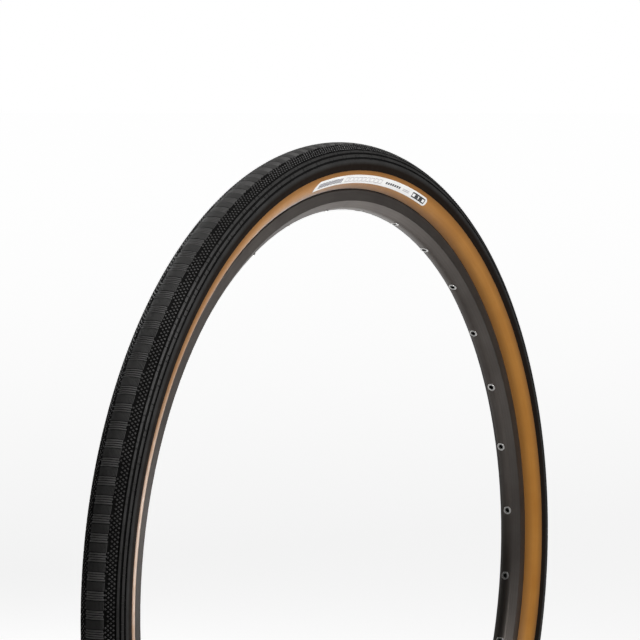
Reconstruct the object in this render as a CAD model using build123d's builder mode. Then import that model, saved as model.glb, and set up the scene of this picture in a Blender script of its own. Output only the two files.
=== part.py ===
"""Clincher gravel tyre, 622 mm bead seat, mounted with its inner tube on a 32-hole box rim.

Frame: the wheel's axle line is Y, the wheel stands in the XZ plane with +Z up, and the
origin is the wheel's centre. Angles around the wheel run from +X towards +Z. The rolling
direction is +X, so "left" is the +Y side and "right" is the -Y side. Millimetres.

Every ring is a section drawn as (distance across the wheel, distance from the axle line)
and turned around the axle line. The valve's pieces are turned around a radius instead.
"""
import os
from math import atan2, cos, degrees, radians, sin

from build123d import *

os.makedirs("parts", exist_ok=True)

# ---------------------------------------------------------------- driving dimensions
bead_seat_radius = 622 / 2

# tread cap: a crown arc, then a side arc on each flank
crown_r = 355.56
crown_arc_radius = 22.93
side_arc_y = 4.57
side_arc_r = 338.74
side_arc_radius = 15.3
tread_edge_angle = 107.3
tread_lip_angle = 95.5
groove_arcs = (16.7, 20.8, 25.0)
groove_widths = (1.5, 1.2, 1.2)
groove_depth = 1.1

# casing: a circular section from one rim edge to the other, its ply turned up round each bead
casing_r = 334.3
casing_radius = 18.8
flank_angle = 149
ply_thickness = 0.8
ply_bend_radius = 2.5
turn_up_top_r = 316.0
bead_core_radius = 0.75
glue_line = 0.05
belt_thickness = 0.5
belt_half_angle = 34
belt_end_gap = 0.5
chafer_thickness = 0.35
chafer_lip = 1.0
chafer_inner_top_r = 314.0

# label on each sidewall
label_thickness = 0.25
label_section_angles = (106, 130)
label_wheel_angles = (68.0, 101.2)

# rim: flanges, a well for the tape and one closed chamber
rim_half_width = 9.75
flange_thickness = 1.5
flange_height = 6
track_bottom_r = 307.7
bed_half_width = 4.9
bed_edge_r = 302.1
bed_center_r = 300.3
chamber_floor_r = 302.2
chamber_floor_half_width = 4.0
chamber_half_width = 8.3
chamber_step_half_width = 5.8
chamber_roof_half_width = 4.8
well_half_width = 4.1
well_floor_r = 307.8
well_lean = 0.5
rim_wall = 1.3
tape_thickness = 0.8
tape_side_gap = 0.15
tape_hole_gap = 0.1
sleeve_arc = 9.0
sleeve_gap = 0.1

# spoke holes and their eyelets
spoke_count = 32
spoke_stagger = 0.7
spoke_hole_radius = 2.55
access_hole_radius = 3.75
bed_cut_depth = 8
well_cut_depth = 5
eyelet_seat_r = 300.9
eyelet_seat_gap = 0.15
eyelet_seat_cut_depth = 4
eyelet_radius = 3.6
eyelet_flange = 0.5
eyelet_edge_fillet = 0.2
eyelet_cut_depth = 10
eyelet_bore_radius = 2.15
eyelet_shank_radius = 2.5
eyelet_collar_radius = 3.0

# inner tube and valve stem, on a radius midway between two spoke holes
tube_wall = 0.7
tube_bottom_r = 308.7
tube_corner = 0.8
tube_cut_depth = 4
valve_angle = 268.705
valve_hole_radius = 3.25
valve_cut_depth = 12
patch_half_length = 9.0
patch_thickness = 1.0
stem_radius = 2.95
stem_tip_r = 262.0
stem_tip_chamfer = 0.4
stem_flange_half_length = 5.5
stem_flange_thickness = 0.8
stem_flange_overlap = 0.5
air_hole_radius = 1.25
core_seat_radius = 2.1
core_seat_end_r = 285.0
stem_nut_radius = 5.25
stem_nut_height = 3.2
stem_nut_grooves = 24
stem_nut_groove_radius = 0.3
stem_nut_gap = 0.1
running_gap = 0.05

# valve core, its pin and the cap, by their distances from the axle line
gasket_thickness = 0.6
core_inner_end_r = 272.0
core_head_r = 258.5
core_head_radius = 2.5
core_head_chamfer = 0.3
core_collar = 0.6
core_across_flats = 4.1
core_flat_overrun = 1.0
pin_radius = 0.8
pin_tip_r = 250.5
pin_rivet_radius = 1.1
pin_rivet_length = 0.9
pin_rivet_taper = 0.4
pin_head_base_radius = 1.45
pin_head_radius = 1.2
pin_head_thickness = 1.6
seal_radius = 1.75
seal_thickness = 0.6
tip_nut_radius = 2.2
tip_nut_r = 252.0
tip_nut_height = 3.2
tip_nut_collar = 0.5
tip_nut_grooves = 16
tip_nut_groove_radius = 0.18
cap_mouth_r = 270.0
cap_skirt_r = 261.0
cap_neck_r = 257.0
cap_end_r = 248.3
cap_wall = 1.0
cap_mouth_radius = 4.0
cap_mouth_chamfer = 0.3
cap_neck_radius = 3.4
cap_end_radius = 3.1
cap_end_chamfer = 0.6
cap_bore_radius = 2.55
cap_bore_start_r = 258.1

# ---------------------------------------------------------------- worked-out sizes
spoke_step = 360 / spoke_count
spoke_angles = [valve_angle + spoke_step * (i + 0.5) for i in range(spoke_count)]
spoke_offsets = [spoke_stagger if i % 2 else -spoke_stagger for i in range(spoke_count)]
spoke_places = list(zip(spoke_angles, spoke_offsets))
flange_top_r = bead_seat_radius + flange_height
flange_inner = rim_half_width - flange_thickness
shoulder_turn = degrees(atan2(side_arc_y, side_arc_r - (crown_r - crown_arc_radius)))
flank_lean = flank_angle - 90

# the bead, from the flange inwards: chafer, turned-up ply, core, main ply, chafer
chafer_y = flange_inner - glue_line - chafer_thickness / 2
turn_up_y = chafer_y - chafer_thickness / 2 - glue_line - ply_thickness / 2
wrap_radius = bead_core_radius + glue_line + ply_thickness / 2
core_y = turn_up_y - wrap_radius
main_ply_y = core_y - wrap_radius
chafer_inner_y = main_ply_y - ply_thickness / 2 - glue_line - chafer_thickness / 2
chafer_bottom_r = bead_seat_radius + glue_line + chafer_thickness / 2
core_r = chafer_bottom_r + chafer_thickness / 2 + glue_line + ply_thickness / 2 + wrap_radius
ply_center_radius = casing_radius - ply_thickness / 2


# ---------------------------------------------------------------- placing helpers
def ring_plane(angle=90):
    """Plane through the axle line at an angle around the wheel: x is across, y is outwards."""
    turn = radians(angle)
    return Plane(origin=(0, 0, 0), x_dir=(0, 1, 0), z_dir=(sin(turn), 0, -cos(turn)))


def radial_plane(angle, radius, across=0.0):
    """Plane square to a radius of the wheel, its normal pointing away from the axle line."""
    turn = radians(angle)
    origin = (radius * cos(turn), across, radius * sin(turn))
    return Plane(origin=origin, x_dir=(0, 1, 0), z_dir=(cos(turn), 0, sin(turn)))


def tread_point(arc):
    """(across, radius, turn) on the tread's outer section, an arc length from the crown."""
    crown_arc = radians(shoulder_turn) * crown_arc_radius
    if arc <= crown_arc:
        turn = degrees(arc / crown_arc_radius)
        center_y, center_r, radius = 0, crown_r - crown_arc_radius, crown_arc_radius
    else:
        turn = shoulder_turn + degrees((arc - crown_arc) / side_arc_radius)
        center_y, center_r, radius = side_arc_y, side_arc_r, side_arc_radius
    return center_y + radius * sin(radians(turn)), center_r + radius * cos(radians(turn)), turn


def side_point(angle):
    """Point on the tread's side arc, at an angle from the radial direction."""
    turn = radians(angle)
    return side_arc_y + side_arc_radius * sin(turn), side_arc_r + side_arc_radius * cos(turn)


def casing_point(radius, angle):
    """Point on a circle about the casing's centre, at an angle from the crown."""
    return radius * sin(radians(angle)), casing_r + radius * cos(radians(angle))


def flank_leg(radius, leg_y, bend_radius):
    """The flank's end, the bend's start and the bend's end, down to an upright leg."""
    lean = radians(flank_lean)
    flank_y, flank_r = casing_point(radius, flank_angle)
    straight = (flank_y - leg_y - bend_radius * (1 - cos(lean))) / sin(lean)
    bend_y, bend_r = flank_y - straight * sin(lean), flank_r - straight * cos(lean)
    return (flank_y, flank_r), (bend_y, bend_r), (leg_y, bend_r - bend_radius * sin(lean))


def bend_middle(bend_start, bend_end, bend_radius):
    """Middle of the arc from a leaning straight down to an upright leg."""
    half = radians(flank_lean / 2)
    center_y, center_r = bend_end[0] + bend_radius, bend_end[1]
    return center_y - bend_radius * cos(half), center_r + bend_radius * sin(half)


def chamber_outline(side):
    """One side of the rim's closed chamber, from the middle of its floor to the middle of its roof."""
    return [
        (0, chamber_floor_r),
        (side * chamber_floor_half_width, chamber_floor_r),
        (side * chamber_half_width, track_bottom_r),
        (side * chamber_half_width, bead_seat_radius - rim_wall),
        (side * chamber_step_half_width, bead_seat_radius - rim_wall),
        (side * chamber_roof_half_width, well_floor_r - rim_wall),
        (0, well_floor_r - rim_wall),
    ]


# ---------------------------------------------------------------- tread cap
tread_edge = side_point(tread_edge_angle)
tread_edge_inner = casing_point(casing_radius + glue_line, tread_lip_angle)
belt_top = casing_radius + belt_thickness + 2 * glue_line
belt_cut_radius = casing_radius - 1
with BuildPart() as tread_cap:
    with BuildSketch(ring_plane()) as tread_section:
        with BuildLine():
            start = side_point(shoulder_turn)
            middle = side_point((shoulder_turn + tread_edge_angle) / 2)
            ThreePointArc(start, (0, crown_r), (-start[0], start[1]))
            for side in (1, -1):
                edge = (side * tread_edge[0], tread_edge[1])
                ThreePointArc((side * start[0], start[1]), (side * middle[0], middle[1]), edge)
                Line(edge, (side * tread_edge_inner[0], tread_edge_inner[1]))
            ThreePointArc(
                tread_edge_inner,
                (0, casing_r + casing_radius + glue_line),
                (-tread_edge_inner[0], tread_edge_inner[1]),
            )
        make_face()
        with BuildLine():
            outer_left = casing_point(belt_top, belt_half_angle + belt_end_gap)
            inner_left = casing_point(belt_cut_radius, belt_half_angle + belt_end_gap)
            ThreePointArc(outer_left, (0, casing_r + belt_top), (-outer_left[0], outer_left[1]))
            ThreePointArc(inner_left, (0, casing_r + belt_cut_radius), (-inner_left[0], inner_left[1]))
            Line(outer_left, inner_left)
            Line((-outer_left[0], outer_left[1]), (-inner_left[0], inner_left[1]))
        make_face(mode=Mode.SUBTRACT)
        for arc, width in zip(groove_arcs, groove_widths):
            groove_y, groove_r, turn = tread_point(arc)
            with Locations(Location((groove_y, groove_r), -turn), Location((-groove_y, groove_r), turn)):
                Rectangle(width, 2 * groove_depth, mode=Mode.SUBTRACT)
    revolve(axis=Axis.Y)
tread_cap.part.label = "tread_cap"
export_step(tread_cap.part, "parts/tread_cap.step")

# ---------------------------------------------------------------- puncture belt under the tread
with BuildPart() as puncture_belt:
    with BuildSketch(ring_plane()):
        with BuildLine():
            belt_inner = casing_radius + glue_line
            belt_outer = belt_inner + belt_thickness
            outer_left = casing_point(belt_outer, belt_half_angle)
            inner_left = casing_point(belt_inner, belt_half_angle)
            ThreePointArc(outer_left, (0, casing_r + belt_outer), (-outer_left[0], outer_left[1]))
            ThreePointArc(inner_left, (0, casing_r + belt_inner), (-inner_left[0], inner_left[1]))
            Line(outer_left, inner_left)
            Line((-outer_left[0], outer_left[1]), (-inner_left[0], inner_left[1]))
        make_face()
    revolve(axis=Axis.Y)
puncture_belt.part.label = "puncture_belt"
export_step(puncture_belt.part, "parts/puncture_belt.step")

# ---------------------------------------------------------------- casing ply
with BuildPart() as casing:
    with BuildSketch(ring_plane()):
        with BuildLine() as ply_path:
            flank, bend, leg = flank_leg(ply_center_radius, main_ply_y, ply_bend_radius)
            crown_half = casing_point(ply_center_radius, flank_angle / 2)
            ThreePointArc((0, casing_r + ply_center_radius), crown_half, flank)
            Line(flank, bend)
            ThreePointArc(bend, bend_middle(bend, leg, ply_bend_radius), leg)
            Line(leg, (main_ply_y, core_r))
            ThreePointArc((main_ply_y, core_r), (core_y, core_r - wrap_radius), (turn_up_y, core_r))
            Line((turn_up_y, core_r), (turn_up_y, turn_up_top_r))
        trace(line_width=ply_thickness)
        mirror(about=Plane.YZ)
    revolve(axis=Axis.Y)
casing.part.label = "casing"
export_step(casing.part, "parts/casing.step")

# ---------------------------------------------------------------- bead cores and chafers
for side, name in ((1, "left"), (-1, "right")):
    with BuildPart() as bead_core:
        with BuildSketch(ring_plane()):
            with Locations((side * core_y, core_r)):
                Circle(bead_core_radius)
        revolve(axis=Axis.Y)
    bead_core.part.label = f"bead_core_{name}"
    export_step(bead_core.part, f"parts/bead_core_{name}.step")

flange_center_y = rim_half_width - flange_thickness / 2
flange_center_r = flange_top_r - flange_thickness / 2
lip_radius = flange_center_y - chafer_y
lip_turn = radians(180 - flank_lean)
lip_start = (
    flange_center_y + lip_radius * cos(lip_turn),
    flange_center_r + lip_radius * sin(lip_turn),
)
lip_end = (
    lip_start[0] + chafer_lip * sin(radians(flank_lean)),
    lip_start[1] + chafer_lip * cos(radians(flank_lean)),
)
for side, name in ((1, "left"), (-1, "right")):
    with BuildPart() as chafer:
        with BuildSketch(ring_plane()):
            with BuildLine():
                lip_middle = radians(180 - flank_lean / 2)
                Line((side * lip_end[0], lip_end[1]), (side * lip_start[0], lip_start[1]))
                ThreePointArc(
                    (side * lip_start[0], lip_start[1]),
                    (
                        side * (flange_center_y + lip_radius * cos(lip_middle)),
                        flange_center_r + lip_radius * sin(lip_middle),
                    ),
                    (side * chafer_y, flange_center_r),
                )
                Line((side * chafer_y, flange_center_r), (side * chafer_y, core_r))
                ThreePointArc(
                    (side * chafer_y, core_r),
                    (side * core_y, chafer_bottom_r),
                    (side * chafer_inner_y, core_r),
                )
                Line((side * chafer_inner_y, core_r), (side * chafer_inner_y, chafer_inner_top_r))
            trace(line_width=chafer_thickness)
        revolve(axis=Axis.Y)
    chafer.part.label = f"chafer_{name}"
    export_step(chafer.part, f"parts/chafer_{name}.step")

# ---------------------------------------------------------------- sidewall labels
for side, name in ((1, "left"), (-1, "right")):
    with BuildPart() as sidewall_label:
        with BuildSketch(ring_plane(label_wheel_angles[1])):
            with BuildLine():
                label_inner = casing_radius + glue_line
                label_outer = label_inner + label_thickness
                label_middle = sum(label_section_angles) / 2
                arc_angles = (*label_section_angles, label_middle)
                ends = []
                for radius in (label_inner, label_outer):
                    points = [casing_point(radius, angle) for angle in arc_angles]
                    top, bottom, middle = [(side * y, r) for y, r in points]
                    ThreePointArc(top, middle, bottom)
                    ends.append((top, bottom))
                Line(ends[0][0], ends[1][0])
                Line(ends[0][1], ends[1][1])
            make_face()
        revolve(axis=Axis.Y, revolution_arc=label_wheel_angles[1] - label_wheel_angles[0])
    sidewall_label.part.label = f"sidewall_label_{name}"
    export_step(sidewall_label.part, f"parts/sidewall_label_{name}.step")

# ---------------------------------------------------------------- rim
with BuildPart() as rim:
    with BuildSketch(ring_plane()) as rim_section:
        with BuildLine():
            ThreePointArc((-bed_half_width, bed_edge_r), (0, bed_center_r), (bed_half_width, bed_edge_r))
            for side in (1, -1):
                Polyline(
                    (side * bed_half_width, bed_edge_r),
                    (side * rim_half_width, track_bottom_r),
                    (side * rim_half_width, flange_center_r),
                )
                ThreePointArc(
                    (side * rim_half_width, flange_center_r),
                    (side * flange_center_y, flange_top_r),
                    (side * flange_inner, flange_center_r),
                )
                Polyline(
                    (side * flange_inner, flange_center_r),
                    (side * flange_inner, bead_seat_radius),
                    (side * (well_half_width + well_lean), bead_seat_radius),
                    (side * well_half_width, well_floor_r),
                    (0, well_floor_r),
                )
        make_face()
        with BuildLine():
            for side in (1, -1):
                Polyline(*chamber_outline(side))
        make_face(mode=Mode.SUBTRACT)
    revolve(axis=Axis.Y)
    with Locations(*[radial_plane(angle, bed_center_r, y) for angle, y in spoke_places]):
        Cylinder(spoke_hole_radius, bed_cut_depth, mode=Mode.SUBTRACT)
    seat_cut_r = eyelet_seat_r - eyelet_seat_cut_depth / 2
    with Locations(*[radial_plane(angle, seat_cut_r, y) for angle, y in spoke_places]):
        Cylinder(eyelet_radius + eyelet_seat_gap, eyelet_seat_cut_depth, mode=Mode.SUBTRACT)
    with Locations(*[radial_plane(angle, well_floor_r) for angle in spoke_angles]):
        Cylinder(access_hole_radius, well_cut_depth, mode=Mode.SUBTRACT)
    with Locations(radial_plane(valve_angle, (bed_center_r + well_floor_r) / 2)):
        Cylinder(valve_hole_radius, valve_cut_depth, mode=Mode.SUBTRACT)
rim.part.label = "rim"
export_step(rim.part, "parts/rim.step")

# ---------------------------------------------------------------- sleeve that joins the rim's ends
with BuildPart() as rim_joint_sleeve:
    with BuildSketch(ring_plane(valve_angle - 180 + sleeve_arc / 2)):
        with BuildLine():
            for side in (1, -1):
                Polyline(*chamber_outline(side))
        make_face()
        offset(amount=-sleeve_gap, kind=Kind.INTERSECTION, mode=Mode.REPLACE)
    revolve(axis=Axis.Y, revolution_arc=sleeve_arc)
rim_joint_sleeve.part.label = "rim_joint_sleeve"
export_step(rim_joint_sleeve.part, "parts/rim_joint_sleeve.step")

# ---------------------------------------------------------------- rim tape, with a hole for the valve
with BuildPart() as rim_tape:
    with BuildSketch(ring_plane()):
        with Locations((0, well_floor_r + glue_line + tape_thickness / 2)):
            Rectangle(2 * (well_half_width - tape_side_gap), tape_thickness)
    revolve(axis=Axis.Y)
    with Locations(radial_plane(valve_angle, well_floor_r)):
        Cylinder(stem_radius + tape_hole_gap, well_cut_depth, mode=Mode.SUBTRACT)
rim_tape.part.label = "rim_tape"
export_step(rim_tape.part, "parts/rim_tape.step")

# ---------------------------------------------------------------- eyelets
collar_r = chamber_floor_r + glue_line
eyelet_mouth_r = eyelet_seat_r - eyelet_flange
eyelet_group = []
for angle, spoke_y in spoke_places:
    with BuildPart() as eyelet:
        with BuildSketch(radial_plane(angle, eyelet_mouth_r, spoke_y)):
            Circle(eyelet_radius)
        extrude(amount=eyelet_flange - glue_line)
        rims = eyelet.edges().filter_by(GeomType.CIRCLE).group_by(SortBy.LENGTH)[-1]
        fillet(rims, radius=eyelet_edge_fillet)
        with BuildSketch(radial_plane(angle, eyelet_mouth_r, spoke_y)):
            Circle(eyelet_shank_radius)
        extrude(amount=collar_r + eyelet_flange - eyelet_mouth_r)
        with BuildSketch(radial_plane(angle, collar_r, spoke_y)):
            Circle(eyelet_collar_radius)
        extrude(amount=eyelet_flange)
        with Locations(radial_plane(angle, eyelet_mouth_r, spoke_y)):
            Cylinder(eyelet_bore_radius, eyelet_cut_depth, mode=Mode.SUBTRACT)
    eyelet_group.append(eyelet.part)
eyelets = Compound(label="eyelets", children=eyelet_group)
export_step(eyelets, "parts/eyelets.step")

# ---------------------------------------------------------------- inner tube
tube_outer_radius = casing_radius - ply_thickness - glue_line
tube_bend_radius = ply_bend_radius + ply_thickness / 2 + glue_line
tube_leg_y = chafer_inner_y - chafer_thickness / 2 - glue_line
with BuildPart() as inner_tube:
    with BuildSketch(ring_plane()) as tube_section:
        flank, bend, leg = flank_leg(tube_outer_radius, tube_leg_y, tube_bend_radius)
        with BuildLine():
            ThreePointArc((-flank[0], flank[1]), (0, casing_r + tube_outer_radius), flank)
            for side in (1, -1):
                middle = bend_middle(bend, leg, tube_bend_radius)
                bend_start, leg_start = (side * bend[0], bend[1]), (side * leg[0], leg[1])
                Line((side * flank[0], flank[1]), bend_start)
                ThreePointArc(bend_start, (side * middle[0], middle[1]), leg_start)
                Line(leg_start, (side * leg[0], tube_bottom_r + tube_corner))
                RadiusArc(
                    (side * leg[0], tube_bottom_r + tube_corner),
                    (side * (leg[0] - tube_corner), tube_bottom_r),
                    side * tube_corner,
                )
                Line((side * (leg[0] - tube_corner), tube_bottom_r), (0, tube_bottom_r))
        make_face()
        offset(amount=-tube_wall, mode=Mode.SUBTRACT)
    revolve(axis=Axis.Y)
    with Locations(radial_plane(valve_angle, tube_bottom_r)):
        Cylinder(stem_radius + running_gap, tube_cut_depth, mode=Mode.SUBTRACT)
inner_tube.part.label = "inner_tube"
export_step(inner_tube.part, "parts/inner_tube.step")

# ---------------------------------------------------------------- valve: patch and stem
valve_side = ring_plane(valve_angle)
valve_direction = (cos(radians(valve_angle)), 0, sin(radians(valve_angle)))
valve_line = Axis(origin=(0, 0, 0), direction=valve_direction)
patch_r = tube_bottom_r + tube_wall + glue_line
base_half_width = tube_leg_y - tube_corner - glue_line
with BuildPart() as tube_valve_patch:
    with BuildSketch(radial_plane(valve_angle, patch_r)):
        Ellipse(base_half_width, patch_half_length)
        Circle(stem_radius + running_gap, mode=Mode.SUBTRACT)
    extrude(amount=patch_thickness)
tube_valve_patch.part.label = "tube_valve_patch"
export_step(tube_valve_patch.part, "parts/tube_valve_patch.step")

stem_top_r = patch_r + patch_thickness + glue_line + stem_flange_thickness
with BuildPart() as valve_stem:
    with BuildSketch(valve_side):
        with BuildLine():
            Polyline(
                (air_hole_radius, stem_top_r),
                (stem_radius, stem_top_r),
                (stem_radius, stem_tip_r + stem_tip_chamfer),
                (stem_radius - stem_tip_chamfer, stem_tip_r),
                (core_seat_radius, stem_tip_r),
                (core_seat_radius, core_seat_end_r),
                (air_hole_radius, core_seat_end_r),
                close=True,
            )
        make_face()
    revolve(axis=valve_line)
    with BuildSketch(radial_plane(valve_angle, stem_top_r - stem_flange_thickness)):
        Ellipse(base_half_width, stem_flange_half_length)
        Circle(stem_radius - stem_flange_overlap, mode=Mode.SUBTRACT)
    extrude(amount=stem_flange_thickness)
valve_stem.part.label = "valve_stem"
export_step(valve_stem.part, "parts/valve_stem.step")

# ---------------------------------------------------------------- valve: removable core
core_body_radius = core_seat_radius - running_gap
core_head_top_r = stem_tip_r - gasket_thickness - glue_line
with BuildPart() as valve_core:
    with BuildSketch(valve_side):
        with BuildLine():
            Polyline(
                (pin_radius + running_gap, core_inner_end_r),
                (core_body_radius, core_inner_end_r),
                (core_body_radius, core_head_top_r),
                (core_head_radius, core_head_top_r),
                (core_head_radius, core_head_r + core_head_chamfer),
                (core_head_radius - core_head_chamfer, core_head_r),
                (pin_radius + running_gap, core_head_r),
                close=True,
            )
        make_face()
    revolve(axis=valve_line)
    flat_depth = core_head_radius - core_across_flats / 2
    flat_bottom_r = core_head_r - core_flat_overrun
    flat_height = core_head_top_r - core_collar - flat_bottom_r
    flat_y = core_head_radius - flat_depth / 2
    for side in (1, -1):
        with Locations(radial_plane(valve_angle, flat_bottom_r + flat_height / 2, side * flat_y)):
            Box(flat_depth, 2 * core_head_radius, flat_height, mode=Mode.SUBTRACT)
valve_core.part.label = "valve_core"
export_step(valve_core.part, "parts/valve_core.step")

with BuildPart() as core_gasket:
    with BuildSketch(radial_plane(valve_angle, stem_tip_r - gasket_thickness)):
        Circle(core_head_radius)
        Circle(core_body_radius + running_gap, mode=Mode.SUBTRACT)
    extrude(amount=gasket_thickness - glue_line)
core_gasket.part.label = "core_gasket"
export_step(core_gasket.part, "parts/core_gasket.step")

# ---------------------------------------------------------------- valve: pin, seal and tip nut
seal_r = core_inner_end_r + glue_line
pin_head_r = seal_r + seal_thickness + glue_line
with BuildPart() as core_pin:
    with BuildSketch(valve_side):
        with BuildLine():
            Polyline(
                (0, pin_tip_r),
                (pin_rivet_radius, pin_tip_r),
                (pin_rivet_radius, pin_tip_r + pin_rivet_length),
                (pin_radius, pin_tip_r + pin_rivet_length + pin_rivet_taper),
                (pin_radius, pin_head_r),
                (pin_head_base_radius, pin_head_r),
                (pin_head_radius, pin_head_r + pin_head_thickness),
                (0, pin_head_r + pin_head_thickness),
                close=True,
            )
        make_face()
    revolve(axis=valve_line)
core_pin.part.label = "core_pin"
export_step(core_pin.part, "parts/core_pin.step")

with BuildPart() as pin_seal:
    with BuildSketch(radial_plane(valve_angle, seal_r)):
        Circle(seal_radius)
        Circle(pin_radius + glue_line, mode=Mode.SUBTRACT)
    extrude(amount=seal_thickness)
pin_seal.part.label = "pin_seal"
export_step(pin_seal.part, "parts/pin_seal.step")

with BuildPart() as tip_nut:
    with BuildSketch(radial_plane(valve_angle, tip_nut_r)):
        Circle(tip_nut_radius)
        with PolarLocations(tip_nut_radius, tip_nut_grooves):
            Circle(tip_nut_groove_radius, mode=Mode.SUBTRACT)
        Circle(pin_radius + running_gap, mode=Mode.SUBTRACT)
    extrude(amount=tip_nut_height)
    with BuildSketch(radial_plane(valve_angle, tip_nut_r + tip_nut_height)):
        Circle(tip_nut_radius - tip_nut_collar)
        Circle(pin_radius + running_gap, mode=Mode.SUBTRACT)
    extrude(amount=tip_nut_collar)
tip_nut.part.label = "tip_nut"
export_step(tip_nut.part, "parts/tip_nut.step")

# ---------------------------------------------------------------- stem nut against the rim
stem_nut_top_r = bed_center_r - stem_nut_gap
with BuildPart() as stem_nut:
    with BuildSketch(radial_plane(valve_angle, stem_nut_top_r - stem_nut_height)):
        Circle(stem_nut_radius)
        with PolarLocations(stem_nut_radius, stem_nut_grooves):
            Circle(stem_nut_groove_radius, mode=Mode.SUBTRACT)
        Circle(stem_radius + running_gap, mode=Mode.SUBTRACT)
    extrude(amount=stem_nut_height)
stem_nut.part.label = "stem_nut"
export_step(stem_nut.part, "parts/stem_nut.step")

# ---------------------------------------------------------------- dust cap
with BuildPart() as dust_cap:
    with BuildSketch(valve_side):
        with BuildLine():
            Polyline(
                (0, cap_end_r),
                (cap_end_radius - cap_end_chamfer, cap_end_r),
                (cap_end_radius, cap_end_r + cap_end_chamfer),
                (cap_neck_radius, cap_neck_r),
                (cap_mouth_radius, cap_skirt_r),
                (cap_mouth_radius, cap_mouth_r - cap_mouth_chamfer),
                (cap_mouth_radius - cap_mouth_chamfer, cap_mouth_r),
                (stem_radius + running_gap, cap_mouth_r),
                (stem_radius + running_gap, stem_tip_r - running_gap),
                (cap_bore_radius, cap_bore_start_r),
                (cap_bore_radius, cap_end_r + cap_wall),
                (0, cap_end_r + cap_wall),
                close=True,
            )
        make_face()
    revolve(axis=valve_line)
dust_cap.part.label = "dust_cap"
export_step(dust_cap.part, "parts/dust_cap.step")
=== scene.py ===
"""Looks of the mounted gravel tyre: knurled file tread, tan sidewalls, printed labels, dark rim and valve.

Lengths are millimetres until they reach a mesh, which is in metres. The tread is described on its
own outer face: arc is the distance from the crown across the tyre (negative on the right-hand side),
around is the angle around the wheel, and height stands out from that face.
"""
from math import atan2, cos, pi, radians, sin, sqrt, tau

import bmesh
import bpy
import numpy as np
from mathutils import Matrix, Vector


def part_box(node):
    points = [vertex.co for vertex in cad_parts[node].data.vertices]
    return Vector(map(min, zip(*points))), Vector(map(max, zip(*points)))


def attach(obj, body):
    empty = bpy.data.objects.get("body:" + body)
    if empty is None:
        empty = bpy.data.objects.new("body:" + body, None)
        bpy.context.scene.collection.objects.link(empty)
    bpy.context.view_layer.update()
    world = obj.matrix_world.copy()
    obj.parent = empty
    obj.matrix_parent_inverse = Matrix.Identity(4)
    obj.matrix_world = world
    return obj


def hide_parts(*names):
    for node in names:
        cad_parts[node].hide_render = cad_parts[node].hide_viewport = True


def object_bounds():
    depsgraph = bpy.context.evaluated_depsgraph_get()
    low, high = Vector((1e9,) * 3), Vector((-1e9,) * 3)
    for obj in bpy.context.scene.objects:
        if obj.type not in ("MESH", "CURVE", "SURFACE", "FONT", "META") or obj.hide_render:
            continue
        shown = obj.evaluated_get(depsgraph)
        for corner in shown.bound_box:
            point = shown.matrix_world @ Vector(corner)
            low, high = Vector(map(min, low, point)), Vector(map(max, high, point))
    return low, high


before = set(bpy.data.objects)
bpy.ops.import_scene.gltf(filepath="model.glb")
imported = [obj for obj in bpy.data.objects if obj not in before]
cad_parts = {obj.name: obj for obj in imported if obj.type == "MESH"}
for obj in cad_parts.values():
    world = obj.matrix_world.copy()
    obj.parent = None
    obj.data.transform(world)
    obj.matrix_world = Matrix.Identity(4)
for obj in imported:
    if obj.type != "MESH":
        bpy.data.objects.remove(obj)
cad_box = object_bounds()

MM = 0.001
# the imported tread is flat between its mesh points, so its box falls this far short of the true crown
BOX_SHORTFALL = 0.06
CROWN_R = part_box("tread_cap")[1].x / MM + BOX_SHORTFALL

# tread section: a crown arc, a side arc on each flank, and a lip that thins out on the casing
CROWN_ARC = 22.93
SIDE_Y, SIDE_R, SIDE_ARC = 4.57, 338.74, 15.3
SHOULDER_TURN = atan2(SIDE_Y, SIDE_R - (CROWN_R - CROWN_ARC))
SHOULDER_ARC = SHOULDER_TURN * CROWN_ARC
EDGE_TURN = radians(107.3)
EDGE_ARC = SHOULDER_ARC + (EDGE_TURN - SHOULDER_TURN) * SIDE_ARC
LIP_ANGLE = radians(95.5)

# casing section: a circle, seen between the tread's edge and the rim; the tread keeps a thin gap to it
CASING_R, CASING_RADIUS = 334.3, 18.8
GLUE = 0.05

# the tread's ring under its pattern: a floor, deeper grooves beside it, then the smooth shoulder,
# which starts under the shoulder's notched edge
FLOOR, FLOOR_END, FLOOR_WALL = -0.6, 16.2, 0.25
GROOVE, GROOVE_WALL = -1.1, 0.05
SHOULDER_START, SHOULDER_EDGE_END, SHOULDER_OVERLAP = 25.75, 27.65, 0.65
FLOOR_POINTS, GROOVE_POINTS, SHOULDER_POINTS, INNER_POINTS = 13, 7, 11, 21
RING_STEPS = 720
# each point of the lip: its share of the way to the lip's end, and how far it bulges out
LIP_STEPS = ((1 / 3, 0.14), (2 / 3, 0.10))

# blocks of bars and of lines on the crown; crests and roots are shares of the pitch between ridges,
# and half of a line's length is a share of its block's length
ROOT_DEPTH = 0.1
BLOCK_PAIRS, BLOCK_PHASE = 156, 0.36
BARS_PER_BLOCK, BAR_HALF_WIDTH, BAR_STAGGER, BAR_POINTS = 4, 7.95, 0.3, 9
LINES_PER_BLOCK, LINE_HALF_WIDTH = 15, 8.2
LINE_HALF_LENGTH = 0.46
BAR_CREST, LINE_CREST = 0.36, 0.48
RIDGE_HALF_ROOT, RIDGE_TOP = 0.44, -0.02

# knurled bands; the inner column leaves out some rows of each cycle
KNURL_ROWS = 640
KNURL_ARCS = (9.35, 11.4, 13.45, 15.5)
KNURL_CYCLE, KNURL_MISSING = 8, (5, 6, 7)
# each ring of a diamond: half its width, half its length and its height
KNURL_RINGS = ((1.7, 1.45, FLOOR - ROOT_DEPTH), (1.05, 0.9, -0.16), (0.78, 0.68, 0.0))
KNURL_PEAK = 0.06
# its first faces, the base and the lower sides, are as dark as the floor: painted shade low between the
# diamonds
KNURL_DARK_FACES = 5

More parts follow.
